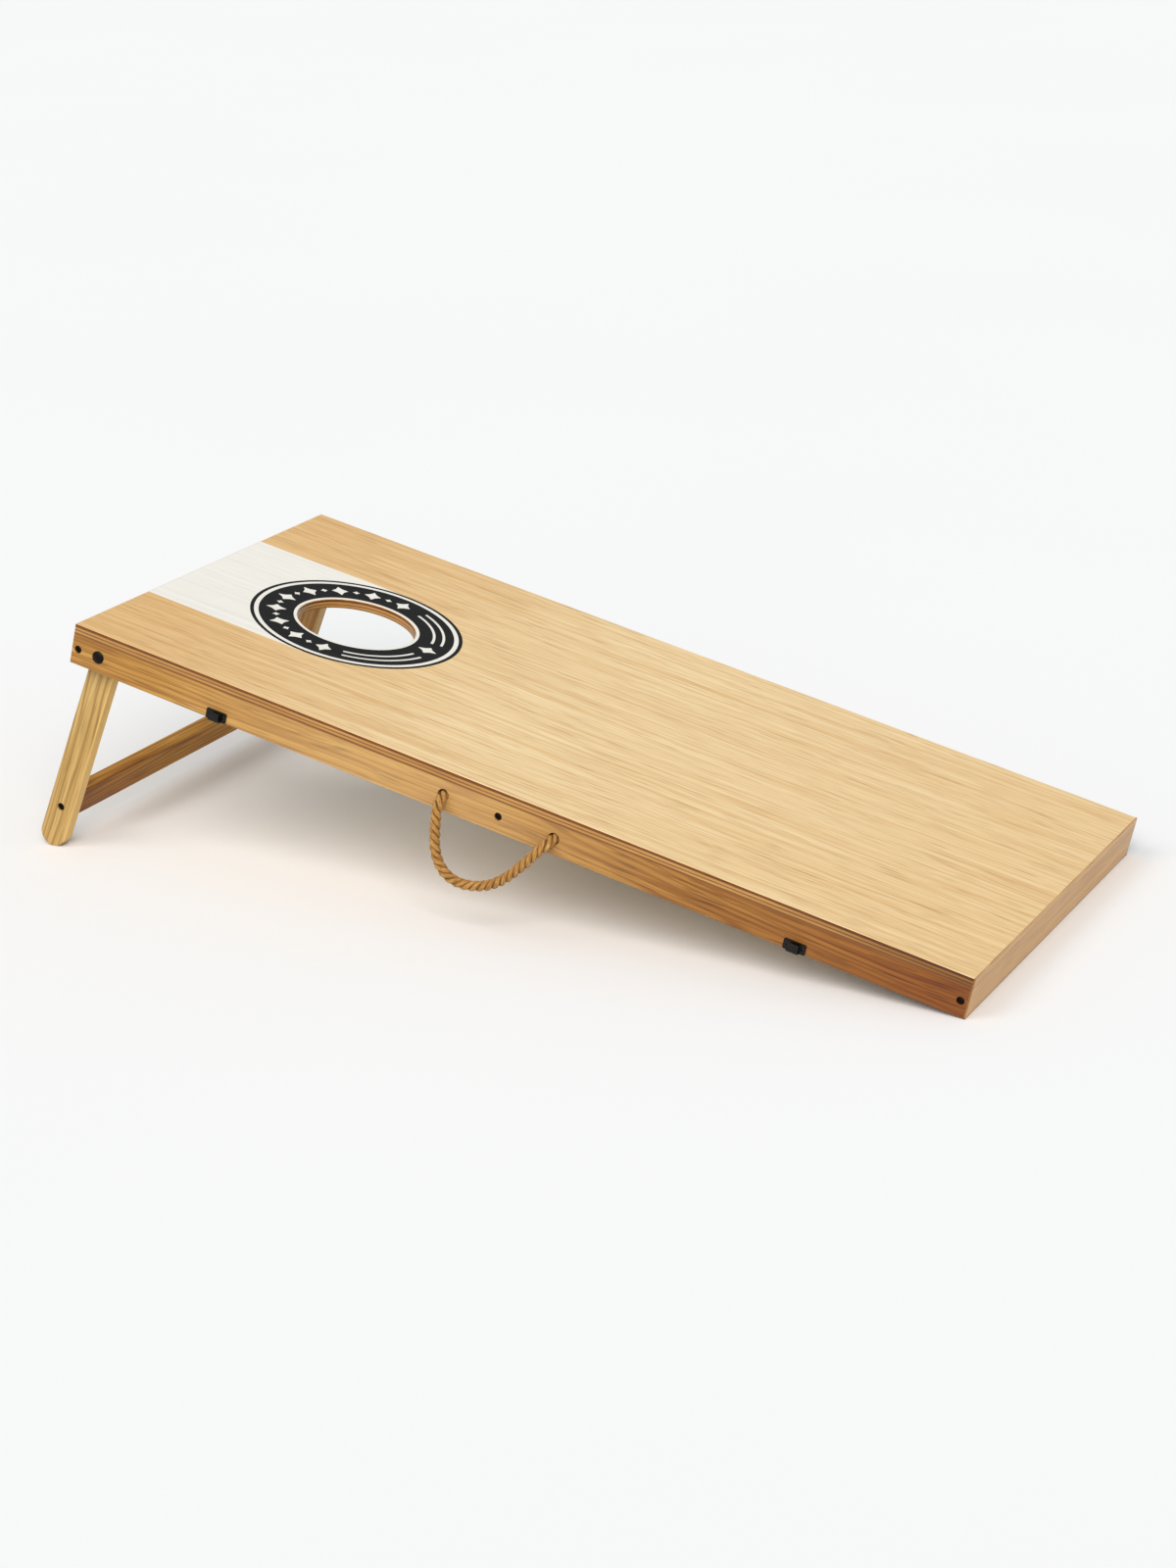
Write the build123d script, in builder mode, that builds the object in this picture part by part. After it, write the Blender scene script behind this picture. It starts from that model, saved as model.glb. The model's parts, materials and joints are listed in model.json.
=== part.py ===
from build123d import *
from math import acos, asin, atan2, cos, degrees, hypot, pi, radians, sin, tan
import os

# Cornhole board on folding legs, with a rope handle, standing in playing position.
#
# Row frame: z = 0 is the floor, +X points to the low front end and +Z up. The origin lies on the
# floor, under the middle of the box around the board and its legs.
# Board coordinates: x from the back edge towards the front, y from the centre line, z from the
# deck's top face. Left (-Y) and right (+Y) are as a player sees them from the front end.

# ---------------------------------------------------------------- driving dimensions, mm

board_length = 1200.0
board_width = 600.0
back_height = 305.0  # floor to the top of the deck's back edge

deck_thickness = 12.0
fascia_thickness = 2.0
rail_thickness = 17.0
rail_height = 40.0
edge_radius = 1.0  # eased edges of the deck, the fascia and the side rails

bag_hole_diameter = 152.4
bag_hole_from_back = 228.6

leg_width = 36.0
leg_thickness = 18.0
leg_edge_radius = 1.5
pivot_from_back = 38.0
stretcher_reach = 225.0  # leg pivot to the stretcher's middle
stretcher_height = 36.0  # along the leg
stretcher_thickness = 18.0
leg_play = 0.1  # on each side of a leg
stop_gap = 0.05  # between the open leg and the back rail's lower corner
fit_clearance = 0.05  # radial, of every shank, bolt and neck in its hole

bolt_diameter = 6.0
bolt_length = 50.0
bolt_head_diameter = 16.0
bolt_head_height = 3.6
bolt_neck_width = 6.3  # square neck under the head
bolt_neck_height = 3.4
washer_diameter = 18.0
washer_thickness = 1.6
nut_across_flats = 10.0
nut_hex_height = 4.4
nut_height = 6.0

frame_screw_length = 45.0
frame_screw_diameter = 4.5
frame_screw_head = 9.4
counterbore_diameter = 10.0
counterbore_depth = 3.0

keeper_from_end = 212.0
keeper_width = 28.0
keeper_height = 13.0
keeper_thickness = 1.5
hook_width = 14.0
hook_reach = 8.5  # rail face to the hook's outer face
hook_height = 12.0
keeper_screw_spacing = 21.4
keeper_screw_diameter = 2.5
keeper_screw_head = 4.6
keeper_screw_length = 11.0

rope_diameter = 13.0
rope_hole_diameter = 15.0
rope_hole_spacing = 148.0
rope_axis_out = 7.5  # rail face to the axis that the handle swings about
knot_diameter = 35.0
knot_length = 27.0
knot_seat_diameter = 19.0
rope_tail_length = 14.0

# The handle's route in the row frame, from the knot behind the back hole, out through the hole,
# down in its hanging loop and back in through the front hole to the other knot.
rope_route = [
    (-40.9, -276.5, 162.5),
    (-40.9, -313.0, 162.5),
    (-42.8, -316.0, 132.0),
    (-43.3, -318.0, 105.0),
    (-38.0, -319.0, 83.0),
    (-20.0, -320.0, 65.0),
    (10.0, -320.0, 62.0),
    (38.0, -320.0, 70.5),
    (62.0, -318.5, 88.5),
    (86.0, -315.5, 112.5),
    (103.8, -313.0, 131.2),
    (103.8, -276.5, 131.2),
]

# ---------------------------------------------------------------- derived sizes

side_height = deck_thickness + rail_height
frame_length = board_length - fascia_thickness
cross_length = board_width - 2 * rail_thickness
rail_middle = -deck_thickness - rail_height / 2  # z of every hole along the rails
tilt = asin(back_height / hypot(board_length, side_height)) - atan2(side_height, board_length)

# The open leg leans back until its rear edge meets the back rail's lower inner corner.
stop_reach = pivot_from_back - rail_thickness
stop_drop = rail_height / 2
stop_distance = hypot(stop_reach, stop_drop)
leg_lean = acos((leg_width / 2 + stop_gap) / stop_distance) - atan2(stop_drop, stop_reach)
leg_angle = tilt + leg_lean  # open leg from the vertical

foot_radius = leg_width / 2
pivot_height = back_height - pivot_from_back * sin(tilt) + rail_middle * cos(tilt)
leg_reach = (pivot_height - foot_radius) / cos(leg_angle)  # pivot to the foot's arc centre

# The box around the board and its legs is centred on x = 0.
front_edge = board_length * cos(tilt)
foot_back = (
    pivot_from_back * cos(tilt)
    + rail_middle * sin(tilt)
    - leg_reach * sin(leg_angle)
    - foot_radius
)
board = Plane((-(front_edge + foot_back) / 2, 0, back_height)).rotated((0, degrees(tilt), 0))
along_board = Axis(board.origin, board.x_dir)
up_from_board = Axis(board.origin, board.z_dir)

frame_screw_places = [
    (x, rail_middle)
    for x in (rail_thickness / 2, frame_length / 2, frame_length - rail_thickness / 2)
]
rope_hole_places = [
    (frame_length / 2 + side * rope_hole_spacing / 2, rail_middle) for side in (-1, 1)
]
keeper_places = [
    (x, keeper_height / 2 - side_height) for x in (keeper_from_end, board_length - keeper_from_end)
]
pivot_place = (pivot_from_back, rail_middle)
stretcher_place = (stretcher_reach, 0)

# Depths of the pivot's stack, from the left rail's outer face inwards.
leg_depth = rail_thickness + washer_thickness + leg_play
nut_washer_depth = leg_depth + leg_thickness + leg_play
nut_depth = nut_washer_depth + washer_thickness
stretcher_length = board_width - 2 * (leg_depth + leg_thickness)

# ---------------------------------------------------------------- working planes


def at(x, y, z):
    """The row frame's point at these board coordinates."""
    return board.from_local_coords((x, y, z))


# On the left face, local x runs along the board, local y up its side and local z outwards.
left_face = Plane(at(0, -board_width / 2, 0), x_dir=board.x_dir, z_dir=(0, -1, 0))
left_inner_face = left_face.offset(-rail_thickness)

# On the left leg's outer face, local x runs down the open leg from its pivot.
left_leg_face = Plane(
    at(pivot_from_back, leg_depth - board_width / 2, rail_middle),
    x_dir=(-sin(leg_angle), 0, -cos(leg_angle)),
    z_dir=(0, -1, 0),
)
left_leg_inner_face = left_leg_face.offset(-leg_thickness)

# ---------------------------------------------------------------- deck and frame

with BuildPart() as deck_panel:
    with BuildSketch(board):
        with Locations((frame_length / 2, 0)):
            Rectangle(frame_length, board_width)
        with Locations((bag_hole_from_back, 0)):
            Circle(bag_hole_diameter / 2, mode=Mode.SUBTRACT)
    extrude(amount=-deck_thickness)
    deck_top = deck_panel.faces().sort_by(up_from_board)[-1]
    fillet(deck_top.edges().sort_by(along_board)[:-1], edge_radius)

with BuildPart() as front_fascia:
    with BuildSketch(board):
        with Locations((frame_length + fascia_thickness / 2, 0)):
            Rectangle(fascia_thickness, board_width)
    extrude(amount=-side_height)
    fascia_top = front_fascia.faces().sort_by(up_from_board)[-1]
    fillet(fascia_top.edges().sort_by(along_board)[-1], edge_radius)


def side_rail():
    """The left side rail without its rope holes."""
    with BuildPart() as rail:
        with BuildSketch(left_face):
            with Locations((frame_length / 2, rail_middle)):
                Rectangle(frame_length, rail_height)
        extrude(amount=-rail_thickness)
        outer_face = rail.faces().sort_by(Axis.Y)[0]
        fillet(outer_face.edges().sort_by(up_from_board)[0], edge_radius)
        with Locations(left_face):
            with Locations(*frame_screw_places):
                CounterBoreHole(
                    frame_screw_diameter / 2 + fit_clearance,
                    counterbore_diameter / 2,
                    counterbore_depth,
                )
            with Locations(pivot_place):
                Hole(bolt_diameter / 2 + fit_clearance)
                Box(
                    bolt_neck_width + 2 * fit_clearance,
                    bolt_neck_width + 2 * fit_clearance,
                    2 * (bolt_neck_height + fit_clearance),
                    mode=Mode.SUBTRACT,
                )
            with Locations(*keeper_places):
                with GridLocations(keeper_screw_spacing, 0, 2, 1):
                    Hole(keeper_screw_diameter / 2 + fit_clearance, keeper_screw_length)
    return rail.part


with BuildPart() as left_side_rail:
    add(side_rail())
    with Locations(left_face):
        with Locations(*rope_hole_places):
            Hole(rope_hole_diameter / 2)

with BuildPart() as right_side_rail:
    mirror(side_rail(), about=Plane.XZ)


def cross_rail(screw_place):
    """A rail between the side rails, with a pilot hole for a frame screw in each end."""
    with BuildPart() as rail:
        with BuildSketch(board.offset(-deck_thickness)):
            with Locations((screw_place[0], 0)):
                Rectangle(rail_thickness, cross_length)
        extrude(amount=-rail_height)
        with Locations(left_inner_face):
            with Locations(screw_place):
                Hole(
                    frame_screw_diameter / 2 + fit_clearance,
                    frame_screw_length + counterbore_depth - rail_thickness + 1,
                )
        mirror(about=Plane.XZ, mode=Mode.INTERSECT)
    return rail.part


with BuildPart() as back_rail:
    add(cross_rail(frame_screw_places[0]))

with BuildPart() as centre_rail:
    add(cross_rail(frame_screw_places[1]))

with BuildPart() as front_rail:
    add(cross_rail(frame_screw_places[2]))

# ---------------------------------------------------------------- folding legs

with BuildPart() as left_leg:
    with BuildSketch(left_leg_face):
        with Locations((leg_reach / 2, 0)):
            SlotCenterToCenter(leg_reach, leg_width)
    extrude(amount=-leg_thickness)
    leg_faces = left_leg.faces().sort_by(Axis.Y)
    fillet(leg_faces[0].edges() + leg_faces[-1].edges(), leg_edge_radius)
    with Locations(left_leg_face):
        Hole(bolt_diameter / 2 + fit_clearance)
        with Locations(stretcher_place):
            CounterBoreHole(
                frame_screw_diameter / 2 + fit_clearance,
                counterbore_diameter / 2,
                counterbore_depth,
            )

with BuildPart() as right_leg:
    mirror(left_leg.part, about=Plane.XZ)

with BuildPart() as leg_stretcher:
    with BuildSketch(left_leg_inner_face):
        with Locations(stretcher_place):
            RectangleRounded(stretcher_height, stretcher_thickness, leg_edge_radius)
    extrude(amount=-stretcher_length)
    with Locations(left_leg_inner_face):
        with Locations(stretcher_place):
            Hole(
                frame_screw_diameter / 2 + fit_clearance,
                frame_screw_length + counterbore_depth - leg_thickness + 1,
            )
    mirror(about=Plane.XZ, mode=Mode.INTERSECT)

# ---------------------------------------------------------------- screws


def wood_screw(shank_diameter, head_diameter, length):
    """A pan head wood screw down Z with a cross recess, its head standing on z = 0."""
    shank = shank_diameter / 2
    head = head_diameter / 2
    head_height = 0.55 * head
    tip_length = 2.5 * shank
    with BuildPart() as screw:
        with BuildSketch(Plane.XZ):
            with BuildLine():
                Polyline(
                    (0, head_height),
                    (0, -length),
                    (shank, tip_length - length),
                    (shank, 0),
                    (head, 0),
                    (head, 0.35 * head_height),
                )
                TangentArc((0, head_height), (head, 0.35 * head_height), tangent=(1, 0))
            make_face()
        revolve(axis=Axis.Z)
        with BuildSketch(Plane.XY.offset(head_height)):
            Rectangle(head, 0.22 * head)
            Rectangle(0.22 * head, head)
        extrude(amount=-0.7 * head_height, mode=Mode.SUBTRACT)
    return screw.part


frame_screw = wood_screw(frame_screw_diameter, frame_screw_head, frame_screw_length)
keeper_screw = wood_screw(keeper_screw_diameter, keeper_screw_head, keeper_screw_length)

with BuildPart() as left_frame_screws:
    with Locations(left_face.offset(-counterbore_depth)):
        with Locations(*frame_screw_places):
            add(frame_screw)

with BuildPart() as right_frame_screws:
    mirror(left_frame_screws.part, about=Plane.XZ)

with BuildPart() as stretcher_screws:
    with Locations(left_leg_face.offset(-counterbore_depth)):
        with Locations(stretcher_place):
            add(frame_screw)
    mirror(about=Plane.XZ)

# ---------------------------------------------------------------- leg pivots


def washer(depth):
    """A washer on the left pivot that fills the stack from this depth inwards."""
    with BuildPart() as ring:
        with BuildSketch(left_face.offset(-depth)):
            with Locations(pivot_place):
                Circle(washer_diameter / 2)
                Circle(bolt_diameter / 2 + fit_clearance, mode=Mode.SUBTRACT)
        extrude(amount=-washer_thickness)
        rims = ring.edges().filter_by(GeomType.CIRCLE).sort_by(SortBy.RADIUS)[-2:]
        chamfer(rims, washer_thickness / 8)
    return ring.part


def lock_nut():
    """A lock nut down Z from its seat on z = 0, with its collar at the far end."""
    corner_radius = nut_across_flats / 2 / cos(radians(30))
    bevel = corner_radius - nut_across_flats / 2
    with BuildPart() as nut:
        with BuildSketch(Plane.XZ):
            with BuildLine():
                Polyline(
                    (0, 0),
                    (corner_radius - bevel, 0),
                    (corner_radius, -bevel / 2),
                    (corner_radius, bevel / 2 - nut_hex_height),
                    (corner_radius - bevel, -nut_hex_height),
                    (0, -nut_hex_height),
                    close=True,
                )
            make_face()
        revolve(axis=Axis.Z)
        with BuildSketch():
            RegularPolygon(corner_radius, 6)
        extrude(amount=-nut_hex_height, mode=Mode.INTERSECT)
        with BuildSketch(Plane.XY.offset(-nut_hex_height)):
            Circle(0.86 * nut_across_flats / 2)
        extrude(amount=nut_hex_height - nut_height)
        fillet(nut.faces().sort_by(Axis.Z)[0].edges(), 0.5)
        with Locations(Plane.XY):
            Hole(bolt_diameter / 2 + fit_clearance, nut_height)
    return nut.part


with BuildPart() as left_spacer_washer:
    add(washer(rail_thickness))

with BuildPart() as right_spacer_washer:
    mirror(left_spacer_washer.part, about=Plane.XZ)

with BuildPart() as left_nut_washer:
    add(washer(nut_washer_depth))

with BuildPart() as right_nut_washer:
    mirror(left_nut_washer.part, about=Plane.XZ)

with BuildPart() as left_lock_nut:
    with Locations(left_face.offset(-nut_depth)):
        with Locations(pivot_place):
            add(lock_nut())

with BuildPart() as right_lock_nut:
    mirror(left_lock_nut.part, about=Plane.XZ)


def pivot_bolt():
    """A domed bolt down Z with a square neck, its head standing on z = 0."""
    radius = bolt_diameter / 2
    head = bolt_head_diameter / 2
    rim_height = 0.6
    tip = 0.6
    with BuildPart() as bolt:
        with BuildSketch(Plane.XZ):
            with BuildLine():
                Polyline(
                    (0, bolt_head_height),
                    (0, -bolt_length),
                    (radius - tip, -bolt_length),
                    (radius, tip - bolt_length),
                    (radius, 0),
                    (head, 0),
                    (head, rim_height),
                )
                TangentArc((0, bolt_head_height), (head, rim_height), tangent=(1, 0))
            make_face()
        revolve(axis=Axis.Z)
        with BuildSketch():
            Rectangle(bolt_neck_width, bolt_neck_width)
        extrude(amount=-bolt_neck_height)
    return bolt.part


with BuildPart() as left_pivot_bolt:
    with Locations(left_face):
        with Locations(pivot_place):
            add(pivot_bolt())

with BuildPart() as right_pivot_bolt:
    mirror(left_pivot_bolt.part, about=Plane.XZ)

# ---------------------------------------------------------------- latch keepers


def latch_keeper():
    """A screwed plate on z = 0 with a hook that opens upwards, towards +Y."""
    bend_radius = 2.5
    half = keeper_thickness / 2
    shelf = half - keeper_height / 2
    lip = hook_reach - half
    with BuildPart() as keeper:
        with BuildSketch():
            RectangleRounded(keeper_width, keeper_height, 2)
            with GridLocations(keeper_screw_spacing, 0, 2, 1):
                Circle(keeper_screw_diameter / 2 + fit_clearance, mode=Mode.SUBTRACT)
        extrude(amount=keeper_thickness)
        with BuildSketch(Plane.YZ.offset(-hook_width / 2)):
            with BuildLine():
                hook_line = FilletPolyline(
                    (shelf, half),
                    (shelf, lip),
                    (shelf + hook_height - keeper_thickness, lip),
                    radius=bend_radius,
                )
                offset(hook_line, half, side=Side.BOTH)
            make_face()
        extrude(amount=hook_width)
    return keeper.part


def keeper_piece(place):
    """A latch keeper on the left rail."""
    with BuildPart() as keeper:
        with Locations(left_face):
            with Locations(place):
                add(latch_keeper())
    return keeper.part


with BuildPart() as left_back_keeper:
    add(keeper_piece(keeper_places[0]))

with BuildPart() as left_front_keeper:
    add(keeper_piece(keeper_places[1]))

with BuildPart() as right_back_keeper:
    mirror(left_back_keeper.part, about=Plane.XZ)

with BuildPart() as right_front_keeper:
    mirror(left_front_keeper.part, about=Plane.XZ)

with BuildPart() as left_keeper_screws:
    with Locations(left_face.offset(keeper_thickness)):
        with Locations(*keeper_places):
            with GridLocations(keeper_screw_spacing, 0, 2, 1):
                add(keeper_screw)

with BuildPart() as right_keeper_screws:
    mirror(left_keeper_screws.part, about=Plane.XZ)

# ---------------------------------------------------------------- rope handle

rope_radius = rope_diameter / 2
swing_points = [
    at(x, -board_width / 2 - rope_axis_out, z) for x, z in rope_hole_places
]
loop_points = [swing_points[0], *rope_route[2:-2], swing_points[1]]


def corner_radii(points):
    """The roundest corners that the runs between these points allow."""
    runs = [Vector(end) - Vector(start) for start, end in zip(points, points[1:])]
    return [
        0.45 * min(before.length, after.length) / tan(radians(before.get_angle(after)) / 2)
        for before, after in zip(runs, runs[1:])
    ]


loop_radii = corner_radii(loop_points)

with BuildPart() as rope_handle:
    with BuildLine() as loop_line:
        FilletPolyline(*loop_points, radius=loop_radii)
    with BuildSketch(Plane(loop_line.line @ 0, z_dir=loop_line.line % 0)):
        Circle(rope_radius)
    sweep()
    tube_volume = rope_handle.part.volume
    with Locations(*swing_points):
        Sphere(rope_radius)

loop_length = sum(edge.length for edge in loop_line.edges())


def rope_end(place):
    """The rope's fixed length through its hole."""
    with BuildPart() as end:
        with BuildSketch(left_face):
            with Locations(place):
                Circle(rope_radius)
        extrude(amount=-rail_thickness)
    return end.part


def rope_knot(place):
    """The stopper knot against the rail's inner face, with the rope's tail."""
    radius = knot_diameter / 2
    seat = knot_seat_diameter / 2
    with BuildPart() as knot:
        with BuildSketch(Plane.XZ):
            with BuildLine():
                ThreePointArc((seat, 0), (radius, -knot_length / 2), (seat, -knot_length))
                Polyline(
                    (seat, -knot_length),
                    (rope_radius, -knot_length),
                    (rope_radius, -knot_length - rope_tail_length),
                    (0, -knot_length - rope_tail_length),
                    (0, 0),
                    (seat, 0),
                )
            make_face()
        revolve(axis=Axis.Z)
    with BuildPart() as placed:
        with Locations(left_inner_face):
            with Locations(place):
                add(knot.part)
    return placed.part


with BuildPart() as rope_back_end:
    add(rope_end(rope_hole_places[0]))

with BuildPart() as rope_front_end:
    add(rope_end(rope_hole_places[1]))

with BuildPart() as rope_back_knot:
    add(rope_knot(rope_hole_places[0]))

with BuildPart() as rope_front_knot:
    add(rope_knot(rope_hole_places[1]))

# ---------------------------------------------------------------- output

pieces = {
    "deck_panel": deck_panel,
    "front_fascia": front_fascia,
    "left_side_rail": left_side_rail,
    "right_side_rail": right_side_rail,
    "back_rail": back_rail,
    "centre_rail": centre_rail,
    "front_rail": front_rail,
    "left_frame_screws": left_frame_screws,
    "right_frame_screws": right_frame_screws,
    "left_leg": left_leg,
    "right_leg": right_leg,
    "leg_stretcher": leg_stretcher,
    "stretcher_screws": stretcher_screws,
    "left_pivot_bolt": left_pivot_bolt,
    "right_pivot_bolt": right_pivot_bolt,
    "left_spacer_washer": left_spacer_washer,
    "right_spacer_washer": right_spacer_washer,
    "left_nut_washer": left_nut_washer,
    "right_nut_washer": right_nut_washer,
    "left_lock_nut": left_lock_nut,
    "right_lock_nut": right_lock_nut,
    "left_back_keeper": left_back_keeper,
    "left_front_keeper": left_front_keeper,
    "right_back_keeper": right_back_keeper,
    "right_front_keeper": right_front_keeper,
    "left_keeper_screws": left_keeper_screws,
    "right_keeper_screws": right_keeper_screws,
    "rope_handle": rope_handle,
    "rope_back_end": rope_back_end,
    "rope_front_end": rope_front_end,
    "rope_back_knot": rope_back_knot,
    "rope_front_knot": rope_front_knot,
}

os.makedirs("parts", exist_ok=True)
for name, piece in pieces.items():
    piece.part.label = name
    export_step(piece.part, f"parts/{name}.step")

print("tilt", round(degrees(tilt), 3), "leg lean", round(degrees(leg_lean), 3), "degrees")
print("leg length", round(leg_reach + leg_width, 2), "stretcher length", stretcher_length)
print("leg pivot", at(pivot_from_back, 0, rail_middle))
print("swing points", *swing_points)
print("loop corner radii", [round(radius, 1) for radius in loop_radii])
print("loop length", round(loop_length, 1), "tube volume", round(tube_volume))
print("section times length", round(pi * rope_radius**2 * loop_length))
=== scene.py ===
import json
import math
import random

import bpy
from mathutils import Matrix, Vector


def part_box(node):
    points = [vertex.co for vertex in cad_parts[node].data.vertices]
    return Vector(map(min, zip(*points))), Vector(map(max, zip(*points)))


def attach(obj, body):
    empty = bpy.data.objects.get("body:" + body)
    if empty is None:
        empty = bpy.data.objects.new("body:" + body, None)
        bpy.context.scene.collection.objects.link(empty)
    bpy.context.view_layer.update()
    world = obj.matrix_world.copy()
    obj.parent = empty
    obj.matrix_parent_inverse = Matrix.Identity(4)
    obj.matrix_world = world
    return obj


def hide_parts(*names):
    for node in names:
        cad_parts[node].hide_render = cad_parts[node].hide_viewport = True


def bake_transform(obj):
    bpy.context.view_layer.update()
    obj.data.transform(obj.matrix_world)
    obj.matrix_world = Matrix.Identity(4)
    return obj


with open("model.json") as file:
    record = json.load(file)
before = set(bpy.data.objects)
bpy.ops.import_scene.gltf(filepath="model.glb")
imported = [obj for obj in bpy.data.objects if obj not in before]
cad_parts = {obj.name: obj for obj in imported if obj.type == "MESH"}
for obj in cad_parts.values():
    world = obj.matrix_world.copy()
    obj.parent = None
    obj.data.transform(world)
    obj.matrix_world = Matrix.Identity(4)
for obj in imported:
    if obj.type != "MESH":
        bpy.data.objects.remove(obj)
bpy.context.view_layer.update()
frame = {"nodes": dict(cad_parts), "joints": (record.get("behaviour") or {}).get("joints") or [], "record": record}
mounts = {mount["name"]: mount for mount in frame["record"]["mounts"]}
joints = {joint["name"]: joint for joint in frame["joints"]}

# ---------------------------------------------------------------- the board's own frame
# Local x runs from the deck's back edge to the front, y from the centre line to the right and
# z up from the deck's top face, all in metres.

DECK_THICKNESS = 0.012
BOARD_DEPTH = 0.052  # deck and rails together
HOLE_FROM_BACK = 0.2286
HOLE_MOUNT_DEPTH = 0.0065  # the middle of the hole's wall, which starts below an eased edge
HOLE_RADIUS = mounts["bag_hole"]["dims"]["r_mm"] / 1000

UP = Vector(mounts["bag_hole"]["axis"]).normalized()
ACROSS = Vector((0, 1, 0))
ALONG = ACROSS.cross(UP)
BOARD_AXES = (ALONG, ACROSS, UP)
CROSS_AXES = (ACROSS, ALONG, UP)
HOLE_MOUNT = Vector(mounts["bag_hole"]["pos_m"])
ORIGIN = HOLE_MOUNT + HOLE_MOUNT_DEPTH * UP - HOLE_FROM_BACK * ALONG
BOARD = Matrix.Translation(ORIGIN) @ Matrix(BOARD_AXES).transposed().to_4x4()

# The legs' own directions: down the leg from its pivot, towards the front and across. Each foot
# is round, with its middle half a leg's width above the floor.
LEG_HALF_WIDTH = 0.018
PIVOT = Vector(joints["leg_fold"]["pos_m"])
foot_low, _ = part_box("left_leg")
FOOT_MIDDLE = Vector((foot_low.x + LEG_HALF_WIDTH, 0, LEG_HALF_WIDTH))
DOWN_LEG = (FOOT_MIDDLE - PIVOT).normalized()
OVER_LEG = DOWN_LEG.cross(ACROSS)
LEG_AXES = (DOWN_LEG, OVER_LEG, ACROSS)
STRETCHER_HALF_THICKNESS = 0.009
STRETCHER_AXES = (ACROSS, OVER_LEG, DOWN_LEG)

# ---------------------------------------------------------------- camera and light

# The camera was solved from seven corners of the board and the printed ring's outer edge in the
# photograph, with the board's size held at 1200 by 600 mm.
CAMERA_PLACE = Vector((1.7703, -3.6928, 1.4946))
RIGHT = Vector((0.9011, 0.4335, 0.0069)).normalized()
FORWARD = Vector((-0.4081, 0.8534, -0.3243)).normalized()
LENS_MM = 79.45
SENSOR_MM = 36
FARTHEST_SEEN = 200
LAMP_COLOUR = (1.0, 0.922, 0.862)
AMBIENT_COLOUR = (0.804, 0.924, 1.0, 1)
AMBIENT_STRENGTH = 0.485
BACKDROP_COLOUR = (1, 1, 1, 1)
BACKDROP_STRENGTH = 0.93


def add_camera():
    data = bpy.data.cameras.new("camera")
    data.lens = LENS_MM
    data.sensor_width = SENSOR_MM
    data.clip_end = FARTHEST_SEEN
    camera = bpy.data.objects.new("camera", data)
    bpy.context.scene.collection.objects.link(camera)
    over = RIGHT.cross(FORWARD).normalized()
    side = FORWARD.cross(over)
    turn = Matrix((side, over, -FORWARD)).transposed().to_4x4()
    camera.matrix_world = Matrix.Translation(CAMERA_PLACE) @ turn
    bpy.context.scene.camera = camera


def add_sun(name, towards, strength, spread):
    """A sun that shines along a direction. spread is its width in the sky, in degrees."""
    data = bpy.data.lights.new(name, "SUN")
    data.energy = strength
    data.angle = math.radians(spread)
    data.color = LAMP_COLOUR
    sun = bpy.data.objects.new(name, data)
    bpy.context.scene.collection.objects.link(sun)
    sun.rotation_euler = Vector(towards).to_track_quat("-Z", "Y").to_euler()


add_camera()
add_sun("key_light", (-0.55, 1.20, -1.0), 2.40, 42)
add_sun("side_light", (0.50, 0.80, -1.0), 0.76, 34)

# The camera sees a white backdrop, while the board and the floor are lit by a dimmer, bluer sky.
world = bpy.data.worlds.new("studio")
bpy.context.scene.world = world
world.use_nodes = True
sky = world.node_tree
ambient = sky.nodes["Background"]
ambient.inputs["Color"].default_value = AMBIENT_COLOUR
ambient.inputs["Strength"].default_value = AMBIENT_STRENGTH
backdrop = sky.nodes.new("ShaderNodeBackground")
backdrop.inputs["Color"].default_value = BACKDROP_COLOUR
backdrop.inputs["Strength"].default_value = BACKDROP_STRENGTH
seen = sky.nodes.new("ShaderNodeLightPath").outputs["Is Camera Ray"]
both = sky.nodes.new("ShaderNodeMixShader")
sky.links.new(seen, both.inputs[0])
sky.links.new(ambient.outputs[0], both.inputs[1])
sky.links.new(backdrop.outputs[0], both.inputs[2])
sky.links.new(both.outputs[0], sky.nodes["World Output"].inputs["Surface"])
bpy.context.scene.view_settings.view_transform = "Standard"

# ---------------------------------------------------------------- node helpers


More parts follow.
